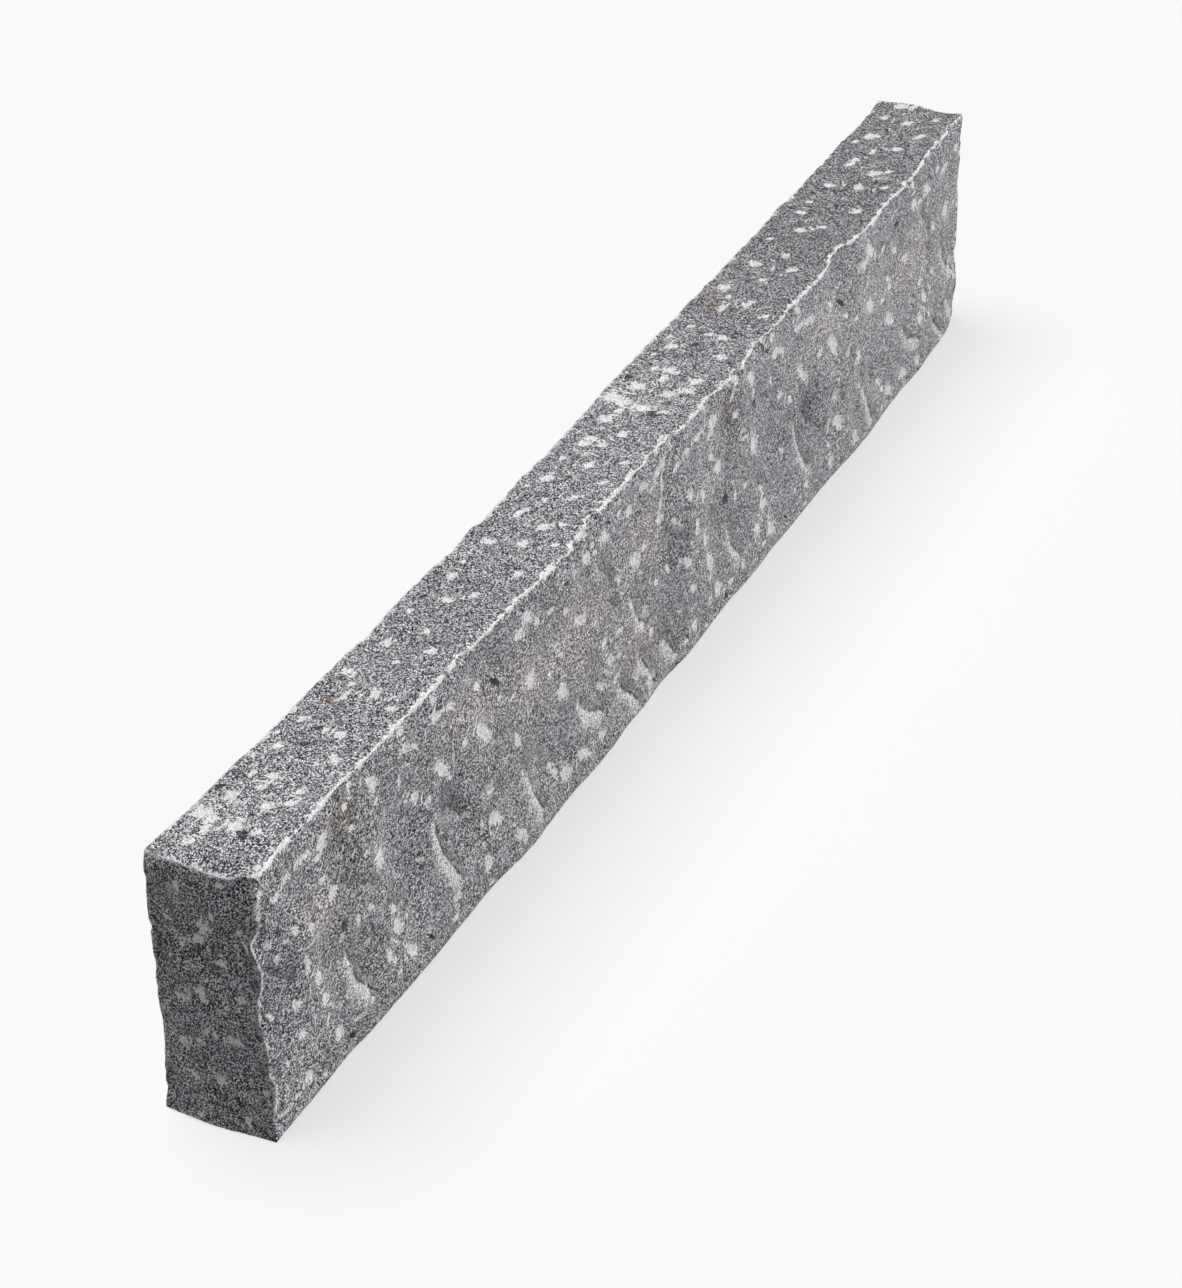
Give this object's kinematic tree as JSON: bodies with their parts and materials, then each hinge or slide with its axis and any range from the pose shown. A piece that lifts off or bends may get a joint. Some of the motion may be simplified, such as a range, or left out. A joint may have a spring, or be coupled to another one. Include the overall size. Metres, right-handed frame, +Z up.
{
  "type": "granite lawn edging stone",
  "caption": "Long hewn block of dark grey granite that stands on its narrow long side, with rough pointed faces and wandering, crushed arrises.",
  "frame": {"origin": "middle of the bed, the dressed face that the stone stands on", "axes": "+X along the length from the near end to the far end, -Y out of the front face, +Z up"},
  "size_m": [1.0119, 0.0722, 0.1539],
  "materials": {
    "granite": "matte, hewn, dark grey with a fine black and white grain and pale bruises where it was struck"
  },
  "bodies": {
    "root": {"edging_stone": "granite"}
  },
  "joints": []
}
